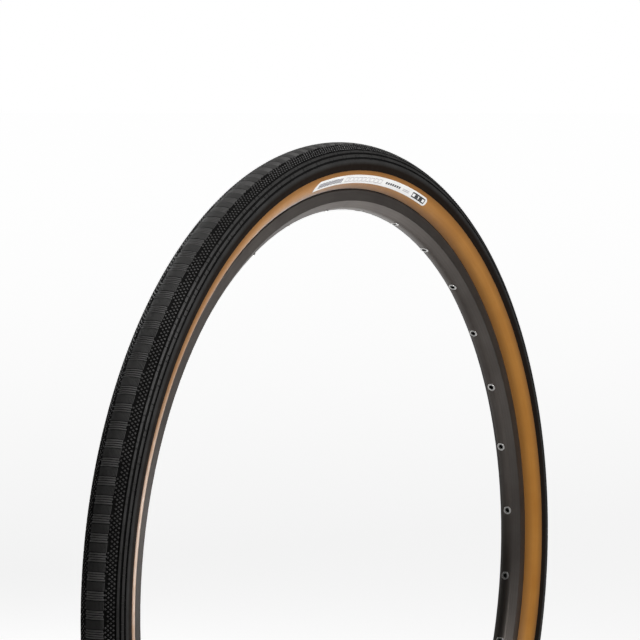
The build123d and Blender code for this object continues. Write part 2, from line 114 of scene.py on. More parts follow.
# ribs, by where they start and end; an edge's wall and its rounding reach this far in
RIBS = ((17.55, 19.95), (21.55, 24.25))
RIB_WALL, RIB_ROUND, RIB_EDGE_HEIGHT, RIB_CROWN = 0.12, 0.35, -0.2, 0.04
SHOULDER_CROWN_AT, SHOULDER_CROWN = 0.9, 0.02
# pairs of notches, the plain places between two pairs, and how far a notch lowers each section point
NOTCH_GROUPS = 104
NOTCH_SPACING = 5.5
NOTCH_HALF_WIDTH, NOTCH_WALL = 0.26, 0.1
PLAIN_STATIONS = (0.0, 6.5, 9.5, 12.5, 15.5)
RIB_DROPS = (0, 0.55, 0.7, 0.7, 0.7, 0.55, 0)
SHOULDER_DROPS, SHOULDER_PHASE = (0, 0.45, 0.5, 0, 0, 0), 0.3

# printed label: an arc of the casing's section, and its ends around the wheel
LABEL_OUTER, LABEL_INNER = radians(106.4), radians(129.6)
LABEL_START, LABEL_END = radians(101.6), radians(68.5)
LABEL_SLANT, LABEL_SLANT_CURVE = 9.5, 2.6
LABEL_RADIUS = CASING_R + CASING_RADIUS * cos((LABEL_OUTER + LABEL_INNER) / 2)
LABEL_LENGTH = (LABEL_START - LABEL_END) * LABEL_RADIUS
LABEL_WIDTH = (LABEL_INNER - LABEL_OUTER) * CASING_RADIUS
LABEL_LIFT, LABEL_HEIGHT, INK_HEIGHT = 0.02, 0.2, 0.03
# mesh steps up the label and along it
LABEL_ROW, LABEL_STEP = 0.8, 2.0

# the label's printed marks: spans are shares of its length, rises are shares of its width
MARK_SPANS = {
    "bars": (0.035, 0.24),
    "frames": (0.264, 0.587),
    "dashes": (0.62, 0.757),
    "stripes": (0.777, 0.835),
    "emblem": (0.865, 1.008),
    "emblem_bars": (0.892, 0.966),
}
MARK_RISE, DASH_RISE = (0.24, 0.74), (0.38, 0.62)
STRIPE_RISES = ((0.52, 0.58), (0.36, 0.42))
EMBLEM_RISE, EMBLEM_BAR_RISE = (0.2, 0.8), (0.34, 0.66)
MARK_LEAN, DASH_LEAN = 0.45, 0.3
FRAME_FILL, FRAME_LINE, EMBLEM_LINE = 0.82, 0.45, 1.0

# valve, on a radius of the wheel, by distance from the axle line
VALVE_ANGLE = radians(268.705)
STEM_RADIUS, STEM_TIP, STEM_END = 2.95, 262.0, 311.2
THREAD_START, THREAD_END = STEM_TIP + 0.4, 296.0
THREAD_PITCH, THREAD_DEPTH, THREAD_FLANK, THREAD_CREST = 0.8, 0.32, 1.25, 0.12
RINGS_PER_TURN = 8
GROOVE_POWER, KNURL_POWER = 1.5, 0.5

# sections turned about the valve's line: radius, distance from the axle line, depth of the grooves
STEM_INSIDE = (
    (1.25, STEM_END, 0), (1.25, 285.0, 0), (2.1, 284.9, 0), (2.1, STEM_TIP, 0), (2.55, STEM_TIP, 0),
)
STEM_FOOT = ((STEM_RADIUS, 300.0, 0), (STEM_RADIUS, 305.0, 0), (STEM_RADIUS, STEM_END, 0))
NUT_FIRST_EDGE = ((3.0, 297.0, 0), (4.7, 297.0, 0), (5.2, 297.35, 0.1))
NUT_GRIP = tuple((5.25, distance, 0.3) for distance in np.linspace(297.5, 299.7, 14))
NUT_LAST_EDGE = ((5.2, 299.85, 0.1), (4.7, 300.2, 0), (3.0, 300.2, 0))
TIP_NUT = (
    (0.86, 252.0, 0), (1.8, 252.0, 0), (2.15, 252.3, 0.1), (2.2, 252.45, 0.22), (2.2, 254.8, 0.22),
    (2.15, 254.95, 0.1), (1.7, 255.2, 0), (1.7, 255.7, 0), (0.86, 255.7, 0),
)
CAP_OUTSIDE = (
    (0.4, 248.3, 0), (2.3, 248.3, 0), (2.85, 248.5, 0), (3.08, 248.95, 0), (3.15, 250.0, 0.1),
    (3.4, 256.9, 0.22), (3.45, 257.2, 0.22), (3.95, 260.9, 0.3), (4.0, 261.3, 0.3), (4.0, 267.8, 0.3),
    (4.0, 268.4, 0), (4.0, 269.6, 0), (3.75, 270.0, 0),
)
CAP_INSIDE = (
    (3.05, 270.0, 0), (3.02, 261.95, 0), (2.55, 258.1, 0), (2.55, 249.4, 0), (2.4, 249.3, 0), (0.4, 249.3, 0),
)
NUT_KNURLS, NUT_KNURL_PITCH, TIP_GROOVES, CAP_GROOVES = 28, 1.6, 16, 18
STEM_SEGMENTS, NUT_SEGMENTS, TIP_SEGMENTS, CAP_SEGMENTS = 48, 224, 128, 144


# ---------------------------------------------------------------- mesh helpers
def make_piece(
    name, points, faces, material, body="wheel", slot="tread_rubber", smooth_angle=35, flanks=None
):
    """A mesh object from points in metres, riding on a body, with its faces turned outwards.

    Flanks is a second material, and a flag for each face that says whether the face has it.
    """
    mesh = bpy.data.meshes.new(name)
    mesh.from_pydata(np.asarray(points).tolist(), [], faces)
    shape = bmesh.new()
    shape.from_mesh(mesh)
    bmesh.ops.recalc_face_normals(shape, faces=shape.faces)
    shape.to_mesh(mesh)
    shape.free()
    mesh.materials.append(material)
    if flanks:
        mesh.materials.append(flanks[0])
        mesh.polygons.foreach_set("material_index", np.asarray(flanks[1], np.int32))
    mesh.shade_smooth()
    mesh.set_sharp_from_angle(angle=radians(smooth_angle))
    piece = bpy.data.objects.new(name, mesh)
    bpy.context.scene.collection.objects.link(piece)
    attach(piece, body)
    return piece


def join(parts):
    """One list of points and faces from several (points, faces) pairs."""
    all_points, all_faces, start = [], [], 0
    for points, faces in parts:
        all_points.append(np.asarray(points, float).reshape(-1, 3))
        all_faces += [tuple(i + start for i in face) for face in faces]
        start += len(all_points[-1])
    return np.concatenate(all_points), all_faces


def tread_section(arc):
    """Across, radius and turn of the tread's outer face at arc lengths from the crown."""
    arc = np.asarray(arc, float)
    side, length = np.sign(arc), np.abs(arc)
    on_crown = length <= SHOULDER_ARC
    turn = np.where(on_crown, length / CROWN_ARC, SHOULDER_TURN + (length - SHOULDER_ARC) / SIDE_ARC)
    radius = np.where(on_crown, CROWN_ARC, SIDE_ARC)
    center_y = np.where(on_crown, 0, SIDE_Y)
    center_r = np.where(on_crown, CROWN_R - CROWN_ARC, SIDE_R)
    return side * (center_y + radius * np.sin(turn)), center_r + radius * np.cos(turn), side * turn


def around_wheel(across, radius, around):
    """Points in metres from a distance across, a distance from the axle line and an angle."""
    across, radius, around = np.broadcast_arrays(across, radius, around)
    return np.stack([radius * np.cos(around), across, radius * np.sin(around)], -1) * MM


def on_tread(arc, around, height):
    """Points in metres over the tread's outer face."""
    across, radius, turn = tread_section(arc)
    return around_wheel(across + height * np.sin(turn), radius + height * np.cos(turn), around)


def on_casing(angle, around, height, side):
    """Points in metres over the sidewall, by the angle from the crown in the casing's section."""
    reach = CASING_RADIUS + height
    return around_wheel(side * reach * np.sin(angle), CASING_R + reach * np.cos(angle), around)


def grid_faces(rows, columns, close_rows=True, close_columns=True):
    """Quads between neighbouring points of a grid stored row by row."""
    faces = []
    for row in range(rows if close_rows else rows - 1):
        for column in range(columns if close_columns else columns - 1):
            next_row, next_column = (row + 1) % rows, (column + 1) % columns
            faces.append((
                row * columns + column,
                row * columns + next_column,
                next_row * columns + next_column,
                next_row * columns + column,
            ))
    return faces


def bar_cell(section, stations, across):
    """A closed bar: a section of (sideways, height) points repeated at stations along its length.

    Its length lies across the tyre when across is true, and around the wheel when it isn't.
    """
    points = []
    for station in stations:
        for sideways, height in section:
            points.append((station, sideways, height) if across else (sideways, station, height))
    count = len(section)
    faces = grid_faces(len(stations), count, close_rows=False)
    faces.append(tuple(range(count)))
    faces.append(tuple(range(count * (len(stations) - 1), count * len(stations))))
    return points, faces


def copy_cell(cell, arcs, angles):
    """One closed cell of the tread, given as (arc, along, height) points, copied to many places."""
    points, faces = np.array(cell[0], float), cell[1]
    arc = arcs[:, None] + points[None, :, 0]
    around = angles[:, None] + points[None, :, 1] / CROWN_R
    height = np.broadcast_to(points[None, :, 2], arc.shape)
    all_points = on_tread(arc, around, height).reshape(-1, 3)
    all_faces = [tuple(i + k * len(points) for i in face) for k in range(len(arcs)) for face in faces]
    return all_points, all_faces


# ---------------------------------------------------------------- material helpers
# a mix node's sockets for colours, by number, because their names are shared with other sockets
MIX_FIRST, MIX_SECOND, MIX_COLOR = 6, 7, 2


class Nodes:
    """Short names for building one material's node tree."""

    def __init__(self, name):
        self.material = bpy.data.materials.new(name)
        self.material.use_nodes = True
        self.tree = self.material.node_tree
        self.shader = self.tree.nodes["Principled BSDF"]
        self.place = self.add("ShaderNodeTexCoord").outputs["Object"]

    def add(self, kind, **inputs):
        """A new node with its inputs set by name, with _ for a space."""
        node = self.tree.nodes.new(kind)
        for key, value in inputs.items():
            self.put(value, node.inputs[key.replace("_", " ")])
        return node

    def put(self, value, socket):
        """Link an output to an input, or set the input to a plain value."""
        if isinstance(value, bpy.types.NodeSocket):
            self.tree.links.new(value, socket)
        else:
            socket.default_value = value

    def math(self, operation, *values):
        """The result of one operation on values or outputs."""
        node = self.add("ShaderNodeMath")
        node.operation = operation
        for value, socket in zip(values, node.inputs):
            self.put(value, socket)
        return node.outputs[0]

    def noise(self, scale, detail=3.0, vector=None, roughness=0.55):
        """Noise near 0.5, with its scale in cells for each metre."""
        node = self.add("ShaderNodeTexNoise", Vector=vector or self.place, Scale=scale, Detail=detail)
        node.inputs["Roughness"].default_value = roughness
        return node.outputs["Fac"]

    def spread(self, value, low, high, to_low=0.0, to_high=1.0):
        """Map a value from one range to another, held at the ends."""
        node = self.add("ShaderNodeMapRange", Value=value)
        for key, number in (("From Min", low), ("From Max", high), ("To Min", to_low), ("To Max", to_high)):
            node.inputs[key].default_value = number
        return node.outputs[0]

    def blend(self, factor, first, second):
        """The first colour where the factor is 0, and the second where it is 1."""
        node = self.add("ShaderNodeMix")
        node.data_type = "RGBA"
        self.put(factor, node.inputs["Factor"])
        self.put(first, node.inputs[MIX_FIRST])
        self.put(second, node.inputs[MIX_SECOND])
        return node.outputs[MIX_COLOR]

    def bump(self, height, distance, under=None):
        """A surface raised by a height between 0 and 1, times a distance in millimetres."""
        node = self.add("ShaderNodeBump", Height=height)
        node.inputs["Strength"].default_value = 1.0
        node.inputs["Distance"].default_value = distance * MM
        if under:
            self.put(under, node.inputs["Normal"])
        return node.outputs[0]

    def wheel_place(self):
        """Distance from the axle line, distance across and angle around, in metres and radians."""
        node = self.add("ShaderNodeSeparateXYZ", Vector=self.place)
        x, y, z = node.outputs
        square = self.math("ADD", self.math("MULTIPLY", x, x), self.math("MULTIPLY", z, z))
        return self.math("SQRT", square), y, self.math("ARCTAN2", z, x)

    def vector(self, x, y, z):
        """A place or direction from three values or outputs."""
        return self.add("ShaderNodeCombineXYZ", X=x, Y=y, Z=z).outputs[0]

    def finish(self, color, roughness, normal=None, **constants):
        """Fill in the shader and give back the material."""
        self.put(color, self.shader.inputs["Base Color"])
        self.put(roughness, self.shader.inputs["Roughness"])
        if normal:
            self.put(normal, self.shader.inputs["Normal"])
        for key, value in constants.items():
            self.shader.inputs[key.replace("_", " ")].default_value = value
        return self.material


def shade(red, green, blue):
    """An opaque colour."""
    return (red, green, blue, 1.0)


def grey(value, warmth=0.02):
    """A near-neutral colour, a little redder than it is blue."""
    return shade(value * (1 + warmth), value, value * (1 - warmth))


# ---------------------------------------------------------------- materials
def rubber(name, dark, light, roughness, grain=0.04, dust=0.0, specular=0.3, painted_shade_below=None):
    """Moulded rubber: a mottled near-black with a fine grain and a little pale dust.

    The last argument is a pair of distances from the axle line, in metres: from the second of them in to the
    first, the grey gives way to a matt brown-black, painted shade at the tread's outer edge.
    """
    n = Nodes(name)
    mottle = n.spread(n.noise(45, 5), 0.3, 0.7)
    color = n.blend(mottle, grey(dark), grey(light))
    rough = n.spread(n.noise(240, 3), 0.3, 0.7, roughness - 0.07, roughness + 0.07)
    if painted_shade_below:
        radius, _, _ = n.wheel_place()
        # painted shade: towards the tan the rubber turns a matt brown-black
        brown_black = shade(0.009, 0.0055, 0.0035)
        color = n.blend(n.spread(radius, *painted_shade_below), brown_black, color)
        rough = n.math("ADD", rough, n.spread(radius, *painted_shade_below, 0.4, 0))
    if dust:
        specks = n.spread(n.noise(900, 4, roughness=0.7), 0.62, 0.78, 0, dust)
        color = n.blend(specks, color, grey(0.12, 0.05))
    grains = n.noise(3200, 3, roughness=0.7)
    waves = n.noise(420, 2)
    normal = n.bump(grains, grain, under=n.bump(waves, 0.1))
    return n.finish(color, rough, normal, Specular_IOR_Level=specular)


def tan_rubber():
    """Skin-thin tan rubber over the casing's crossed threads, with painted shade darkening it at the tread
    and at the rim.
    """
    n = Nodes("tan_rubber")
    radius, _, around = n.wheel_place()
    threads_around, threads_inwards = 1500.0, 4600.0
    along = n.math("MULTIPLY", around, threads_around)
    slope = n.math("MULTIPLY", radius, threads_inwards)
    threads = n.math("SINE", n.math("ADD", along, slope))
    cross_threads = n.math("SINE", n.math("SUBTRACT", along, slope))
    streaks_inwards, streaks_around = 700.0, 9.0
    rings = n.vector(
        n.math("MULTIPLY", radius, streaks_inwards), 0.0, n.math("MULTIPLY", around, streaks_around)
    )
    streaks = n.spread(n.noise(1.0, 5, vector=rings), 0.35, 0.75, 0, 0.35)
    clouds = n.spread(n.noise(22, 4), 0.3, 0.7)
    # painted shade: the tan darkens towards the rim and towards the tread's edge
    rim_shade_mask = n.spread(radius, 0.3185, 0.3225, 1, 0)
    tread_shade_mask = n.spread(radius, 0.3265, 0.3320, 0, 0.75)
    deep, pale, streak = shade(0.355, 0.148, 0.024), shade(0.42, 0.190, 0.038), shade(0.31, 0.122, 0.014)
    rim_shade_tan, tread_shade_tan = shade(0.235, 0.098, 0.016), shade(0.17, 0.068, 0.009)
    color = n.blend(clouds, deep, pale)
    color = n.blend(streaks, color, streak)
    color = n.blend(rim_shade_mask, color, rim_shade_tan)
    color = n.blend(tread_shade_mask, color, tread_shade_tan)
    rough = n.spread(n.noise(160, 3), 0.3, 0.7, 0.34, 0.48)
    fine = n.bump(n.noise(2600, 3, roughness=0.65), 0.03)
    normal = n.bump(n.math("ADD", threads, cross_threads), 0.004, under=fine)
    return n.finish(color, rough, normal, Specular_IOR_Level=0.2, Sheen_Weight=0.5, Sheen_Roughness=0.35)


def anodised():
    """Dark warm-grey anodised aluminium with faint lines turned around the rim."""
    n = Nodes("rim_anodised")
    radius, across, _ = n.wheel_place()
    section = n.vector(radius, across, 0.0)
    lines = n.noise(2400, 2, vector=section)
    bands = n.spread(n.noise(350, 2, vector=section), 0.35, 0.7, 0, 0.5)
    clouds = n.spread(n.noise(30, 4), 0.3, 0.7)
    deep, pale, band = shade(0.118, 0.105, 0.097), shade(0.150, 0.135, 0.124), shade(0.100, 0.088, 0.079)
    color = n.blend(bands, n.blend(clouds, deep, pale), band)
    rough = n.spread(lines, 0.3, 0.7, 0.32, 0.38)
    normal = n.bump(lines, 0.002, under=n.bump(n.noise(1500, 2), 0.006))
    return n.finish(color, rough, normal, Metallic=1.0)


def metal(name, color, roughness, grain=0.01, scale=1800):
    """Plated or bare metal with slight tarnish, fine grain and uneven gloss."""
    n = Nodes(name)
    tarnish = n.spread(n.noise(260, 4), 0.35, 0.75, 0, 0.5)
    darker = shade(*(channel * 0.62 for channel in color))
    surface = n.blend(tarnish, shade(*color), darker)
    rough = n.spread(n.noise(500, 3), 0.3, 0.7, roughness - 0.06, roughness + 0.1)
    return n.finish(surface, rough, n.bump(n.noise(scale, 3), grain), Metallic=1.0)


def woven(name, first, second, pitch, roughness=0.8):
    """Cloth woven round the wheel, from threads that run around it and across it, a pitch apart."""
    n = Nodes(name)
    _, across, around = n.wheel_place()
    warp = n.math("SINE", n.math("MULTIPLY", around, tau * LABEL_RADIUS / pitch))
    weft = n.math("SINE", n.math("MULTIPLY", across, tau / (pitch * MM)))
    height = n.math("MULTIPLY", warp, weft)
    color = n.blend(n.spread(height, -1, 1), first, second)
    color = n.blend(n.spread(n.noise(60, 4), 0.35, 0.7, 0, 0.4), color, first)
    return n.finish(color, roughness, n.bump(height, 0.08))


def plastic(name, color, roughness):
    """Moulded or printed plastic with a faint orange-peel skin."""
    n = Nodes(name)
    paler = shade(*(channel * 1.12 for channel in color))
    surface = n.blend(n.spread(n.noise(120, 4), 0.3, 0.7), shade(*color), paler)
    rough = n.spread(n.noise(700, 3), 0.3, 0.7, roughness - 0.05, roughness + 0.08)
    return n.finish(surface, rough, n.bump(n.noise(900, 2), 0.02))


def ink(name, color):
    """Printed ink, slightly uneven where it is worn."""
    n = Nodes(name)
    worn = n.spread(n.noise(1400, 4, roughness=0.7), 0.55, 0.8, 0, 0.4)
    paper, fading = 0.8, 0.3
    faded = shade(*(channel + (paper - channel) * fading for channel in color))
    surface = n.blend(worn, shade(*color), faded)
    rough = n.spread(n.noise(600), 0.3, 0.7, 0.35, 0.5)
    return n.finish(surface, rough, n.bump(n.noise(2200), 0.01))


# its outer edge, beside the tan, darkens with painted shade
TREAD = rubber("tread_rubber", 0.022, 0.034, 0.5, specular=0.1, painted_shade_below=(0.3372, 0.3402))
# the tread rubber painted several times darker: painted shade in the sunk centre, the grooves and on the low
# faces of knurls and ribs
TREAD_RECESS_SHADE = rubber("tread_floor_painted_shade", 0.004, 0.006, 0.85, specular=0.08)
# the file pattern's rubber is painted lighter than the tread body, the bars about twice as light as the
# lines: painted light for the light the blocks catch
TREAD_BARS_PAINTED_LIGHT = rubber("tread_cross_bars", 0.088, 0.122, 0.5, dust=0.12, specular=0.4)
TREAD_LINES_PAINTED_LIGHT = rubber("tread_lines", 0.042, 0.06, 0.6, specular=0.25)
TREAD_KNURLS = rubber("tread_knurls", 0.04, 0.062, 0.42, dust=0.2, specular=0.3)
TREAD_RIBS = rubber("tread_ribs", 0.024, 0.034, 0.5, dust=0.15, specular=0.16)
TAN = tan_rubber()
RIM_METAL = anodised()
PLATED = metal("eyelet_plated", (0.80, 0.79, 0.77), 0.3)
BRASS = metal("plated_brass", (0.70, 0.68, 0.64), 0.26)
BARE_METAL = metal("rim_bare", (0.62, 0.62, 0.61), 0.4, 0.02)
BEAD_CORD = metal("bead_cord", (0.30, 0.26, 0.16), 0.5, 0.03)
TUBE = rubber("tube_rubber", 0.018, 0.03, 0.45, dust=0.4)
CHAFER = rubber("chafer_rubber", 0.012, 0.02, 0.6)
BELT = woven("belt_fabric", shade(0.30, 0.24, 0.12), shade(0.42, 0.35, 0.2), 1.1)
TAPE = woven("tape_cloth", shade(0.42, 0.42, 0.40), shade(0.62, 0.62, 0.6), 0.8)
CAP_PLASTIC = plastic("cap_plastic", (0.015, 0.015, 0.016), 0.4)
LABEL_WHITE = plastic("label_white", (0.80, 0.795, 0.78), 0.4)
INK_DARK = ink("ink_dark", (0.075, 0.062, 0.10))
INK_PALE = ink("ink_pale", (0.40, 0.37, 0.39))
INK_BLACK = ink("ink_black", (0.016, 0.016, 0.018))

# CAD parts that are seen as they are
NODE_MATERIALS = {
    "casing": TAN,
    "rim": RIM_METAL,
    "eyelets": PLATED,
    "chafer_left": CHAFER,
    "chafer_right": CHAFER,
    "bead_core_left": BEAD_CORD,
    "bead_core_right": BEAD_CORD,
    "puncture_belt": BELT,
    "inner_tube": TUBE,
    "tube_valve_patch": TUBE,
    "rim_tape": TAPE,
    "rim_joint_sleeve": BARE_METAL,
    "valve_core": BRASS,
    "core_pin": BRASS,
    "core_gasket": TUBE,
    "pin_seal": TUBE,
}
for node_name, node_material in NODE_MATERIALS.items():
    node_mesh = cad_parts[node_name].data
    for index in range(len(node_mesh.materials)):
        node_mesh.materials[index] = node_material


# ---------------------------------------------------------------- tread body
def tread_body():
    """The tread's ring under the pattern: a sunk centre, deeper sides, smooth shoulders, thin lips, its sunk
    parts darkened with painted shade.
    """
    groove_end = SHOULDER_EDGE_END - SHOULDER_OVERLAP
    outer = [(arc, FLOOR) for arc in np.linspace(0, FLOOR_END, FLOOR_POINTS)]
    outer += [(arc, GROOVE) for arc in np.linspace(FLOOR_END + FLOOR_WALL, groove_end, GROOVE_POINTS)]
    sunk_count = len(outer)
    outer += [(arc, 0.0) for arc in np.linspace(groove_end + GROOVE_WALL, EDGE_ARC, SHOULDER_POINTS)]
    half = []
    for arc, height in outer:
        across, radius, turn = tread_section(arc)
        half.append((float(across + height * np.sin(turn)), float(radius + height * np.cos(turn))))
    reach = CASING_RADIUS + GLUE
    edge_y, edge_r = half[-1]
    lip_y = reach * sin(LIP_ANGLE) - edge_y
    lip_r = CASING_R + reach * cos(LIP_ANGLE) - edge_r
    for share, bulge in LIP_STEPS:
        half.append((edge_y + lip_y * share + bulge, edge_r + lip_r * share))
    outer_count = len(half)
    for angle in np.linspace(LIP_ANGLE, 0, INNER_POINTS):
        half.append((reach * sin(angle), CASING_R + reach * cos(angle)))
    section = list(half)
    section += [(-y, r) for y, r in reversed(half[outer_count:-1])]
    section += [(-y, r) for y, r in reversed(half[1:outer_count])]
    section = np.array(section)
    around = np.linspace(0, tau, RING_STEPS, endpoint=False)[:, None]
    points = around_wheel(section[None, :, 0], section[None, :, 1], around).reshape(-1, 3)
    column = np.arange(len(section))
    # the sunk centre and the grooves take the floor's darker rubber, as painted shade
    sunk = np.tile((column < sunk_count) | (column >= len(section) - sunk_count), RING_STEPS)
    faces = grid_faces(RING_STEPS, len(section))
    piece = make_piece("tread_body", points, faces, TREAD, flanks=(TREAD_RECESS_SHADE, sunk))
    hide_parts("tread_cap")


tread_body()


# ---------------------------------------------------------------- file pattern on the crown
def ridge_section(pitch, crest):
    """Section of one moulded ridge: wide at its root, with a flat top that is crest of the pitch wide."""
    low = FLOOR - ROOT_DEPTH
    half_root, half_top = RIDGE_HALF_ROOT * pitch, crest * pitch / 2
    return [(-half_root, low), (-half_top, RIDGE_TOP), (half_top, RIDGE_TOP), (half_root, low)]


def file_pattern():
    """Pairs of blocks round the crown: one of bars across the tyre, one of fine lines around it, both with
    painted light.
    """
    pair_step = tau / BLOCK_PAIRS
    pair_angles = (np.arange(BLOCK_PAIRS) + BLOCK_PHASE) * pair_step
    length = pair_step * CROWN_R / 2
    pitch = length / BARS_PER_BLOCK
    parts = []
    for bar in range(BARS_PER_BLOCK):
        offset = (bar - (BARS_PER_BLOCK - 1) / 2) * pitch / CROWN_R
        half_width = BAR_HALF_WIDTH + (BAR_STAGGER if bar % 2 else -BAR_STAGGER)
        stations = np.linspace(-half_width, half_width, BAR_POINTS)
        cell = bar_cell(ridge_section(pitch, BAR_CREST), stations, across=True)
        parts.append(copy_cell(cell, np.zeros(BLOCK_PAIRS), pair_angles + offset))
    make_piece("tread_cross_bars", *join(parts), TREAD_BARS_PAINTED_LIGHT, smooth_angle=25)

    pitch = 2 * LINE_HALF_WIDTH / LINES_PER_BLOCK
    stations = np.array((-LINE_HALF_LENGTH, 0.0, LINE_HALF_LENGTH)) * length
    cell = bar_cell(ridge_section(pitch, LINE_CREST), stations, across=False)
    arcs = (np.arange(LINES_PER_BLOCK) - (LINES_PER_BLOCK - 1) / 2) * pitch
    arcs, angles = np.meshgrid(arcs, pair_angles + pair_step / 2)
    made = copy_cell(cell, arcs.ravel(), angles.ravel())
    make_piece("tread_lines", *made, TREAD_LINES_PAINTED_LIGHT, smooth_angle=25)


file_pattern()


# ---------------------------------------------------------------- knurled bands
def knurl_cell():
    """A raised diamond with steep sides and a small, slightly crowned top."""
    points = []
    for half_width, half_length, height in KNURL_RINGS:
        corners = ((half_width, 0), (0, half_length), (-half_width, 0), (0, -half_length))
        points += [(arc, along, height) for arc, along in corners]
    faces = [(0, 1, 2, 3)] + grid_faces(len(KNURL_RINGS), 4, close_rows=False)
    points.append((0, 0, KNURL_PEAK))
    top = 4 * (len(KNURL_RINGS) - 1)
    faces += [(top + corner, top + (corner + 1) % 4, top + 4) for corner in range(4)]
    return points, faces


def knurl_bands():
    """Four staggered columns of diamonds each side, the inner column coming and going.

    Each diamond's base and lower sides have the tread floor's darker material: painted shade low between the
    diamonds.
    """
    cell = knurl_cell()
    row_step = tau / KNURL_ROWS
    for side, name in ((1, "left"), (-1, "right")):
        arcs, angles = [], []
        for column, arc in enumerate(KNURL_ARCS):
            for row in range(KNURL_ROWS):
                if column == 0 and row % KNURL_CYCLE in KNURL_MISSING:
                    continue
                arcs.append(side * arc)
                angles.append((row + column % 2 / 2) * row_step)
        made = copy_cell(cell, np.array(arcs), np.array(angles))
        dark = np.tile(np.arange(len(cell[1])) < KNURL_DARK_FACES, len(arcs))
        make_piece(f"tread_knurls_{name}", *made, TREAD_KNURLS, smooth_angle=20, flanks=(TREAD_RECESS_SHADE, dark))


knurl_bands()


# ---------------------------------------------------------------- ribs with paired notches
def notched_rib(name, section, drops, offset, material):
    """A ring on the tread: section points (arc, height), each lowered by its drop inside a notch.

    Its two lower walls and its underside have the tread floor's darker material: painted shade at the foot of
    the ring.
    """
    group = tau / NOTCH_GROUPS
    brink = NOTCH_HALF_WIDTH + NOTCH_WALL
    profile = ((-brink, 0.0), (-NOTCH_HALF_WIDTH, 1.0), (NOTCH_HALF_WIDTH, 1.0), (brink, 0.0))
    stations = [(along, 0.0) for along in PLAIN_STATIONS]
    for center in (-NOTCH_SPACING / 2, NOTCH_SPACING / 2):
        stations += [(center + along, depth) for along, depth in profile]
    stations.sort()
    angles = [k * group + offset + along / CROWN_R for k in range(NOTCH_GROUPS) for along, _ in stations]
    depths = np.array([depth for _ in range(NOTCH_GROUPS) for _, depth in stations])
    section, drops = np.array(section), np.array(drops)
    height = section[None, :, 1] - drops[None, :] * depths[:, None]
    arc = np.broadcast_to(section[None, :, 0], height.shape)
    points = on_tread(arc, np.array(angles)[:, None], height).reshape(-1, 3)
    column = np.arange(len(section))
    dark = np.tile((column == 0) | (column >= len(section) - 2), len(angles))
    faces = grid_faces(len(angles), len(section))
    make_piece(name, points, faces, material, smooth_angle=30, flanks=(TREAD_RECESS_SHADE, dark))


def rib_edge(root, way=1):
    """A rib's edge from its root up to its top, going away from the crown (1) or towards it (-1)."""
    return [
        (root, GROOVE - ROOT_DEPTH),
        (root + way * RIB_WALL, RIB_EDGE_HEIGHT),
        (root + way * RIB_ROUND, 0.0),
    ]


def ribs():
    """Two ribs and a shoulder edge on each side, notched in pairs out of step with each other."""
    for side, name in ((1, "left"), (-1, "right")):
        for number, (start, end) in enumerate(RIBS, 1):
            section = rib_edge(start) + [((start + end) / 2, RIB_CROWN)] + rib_edge(end, -1)[::-1]
            section = [(side * arc, height) for arc, height in section]
            offset = number * pi / NOTCH_GROUPS
            notched_rib(f"tread_rib_{number}_{name}", section, RIB_DROPS, offset, TREAD_RIBS)
        section = rib_edge(SHOULDER_START) + [(SHOULDER_START + SHOULDER_CROWN_AT, SHOULDER_CROWN)]
        section += [(SHOULDER_EDGE_END, 0.0), (SHOULDER_EDGE_END, GROOVE - ROOT_DEPTH)]
        section = [(side * arc, height) for arc, height in section]
        offset = SHOULDER_PHASE * pi / NOTCH_GROUPS
        notched_rib(f"tread_shoulder_{name}", section, SHOULDER_DROPS, offset, TREAD)


ribs()


# ---------------------------------------------------------------- printed labels
def label_patch(start, end, low, high, side, base, top, lean=0.0):
    """A thin solid on the sidewall between two ends, which are functions of the height up the label.

    Ends and heights are millimetres: along from the label's first tip, and up from its edge at the rim.
    Lean moves both ends along for each millimetre up. Base and top are heights off the sidewall.
    """
    rows = max(2, int((high - low) / LABEL_ROW) + 1)
    up = np.linspace(low, high, rows)
    begin = np.array([start(v) for v in up]) + lean * (up - low)
    finish = np.array([end(v) for v in up]) + lean * (up - low)
    columns = max(2, int((finish.max() - begin.min()) / LABEL_STEP) + 2)
    share = np.linspace(0, 1, columns)[:, None]
    along = begin[None, :] + (finish - begin)[None, :] * share
    angle = LABEL_INNER - np.broadcast_to(up[None, :], along.shape) / CASING_RADIUS
    around = LABEL_START - along / LABEL_RADIUS
    layers = [on_casing(angle, around, height, side).reshape(-1, 3) for height in (top, base)]
    count = rows * columns
    sheet = grid_faces(columns, rows, close_rows=False, close_columns=False)
    faces = sheet + [tuple(i + count for i in reversed(face)) for face in sheet]
    border = [column * rows for column in range(columns)]
    border += [(columns - 1) * rows + row for row in range(1, rows)]
    border += [column * rows + rows - 1 for column in range(columns - 2, -1, -1)]
    border += list(range(rows - 2, 0, -1))
    for here, there in zip(border, border[1:] + border[:1]):
        faces.append((here, there, there + count, here + count))
    return np.concatenate(layers), faces


def level(place):
    """An end of a label patch that is at one place, however far up the label."""
    return lambda up: place


def mark(start, end, low, high, side, lean):
    """One printed mark between two places along the label and two heights up it."""
    base, top = LABEL_HEIGHT, LABEL_HEIGHT + INK_HEIGHT
    return label_patch(level(start), level(end), low, high, side, base, top, lean)


def mark_bounds(span, rise):
    """Ends along the label and heights up it, in millimetres, from a named span and a rise."""
    first, last = MARK_SPANS[span]
    return first * LABEL_LENGTH, last * LABEL_LENGTH, rise[0] * LABEL_WIDTH, rise[1] * LABEL_WIDTH


def bars(side, span, rise, count=1, fill=1.0, lean=0.0):
    """Evenly spaced slanted bars, each filling part of its pitch."""
    first, last, low, high = mark_bounds(span, rise)
    pitch = (last - first) / count
    made = []
    for i in range(count):
        begin = first + i * pitch
        made.append(mark(begin, begin + fill * pitch, low, high, side, lean))
    return made


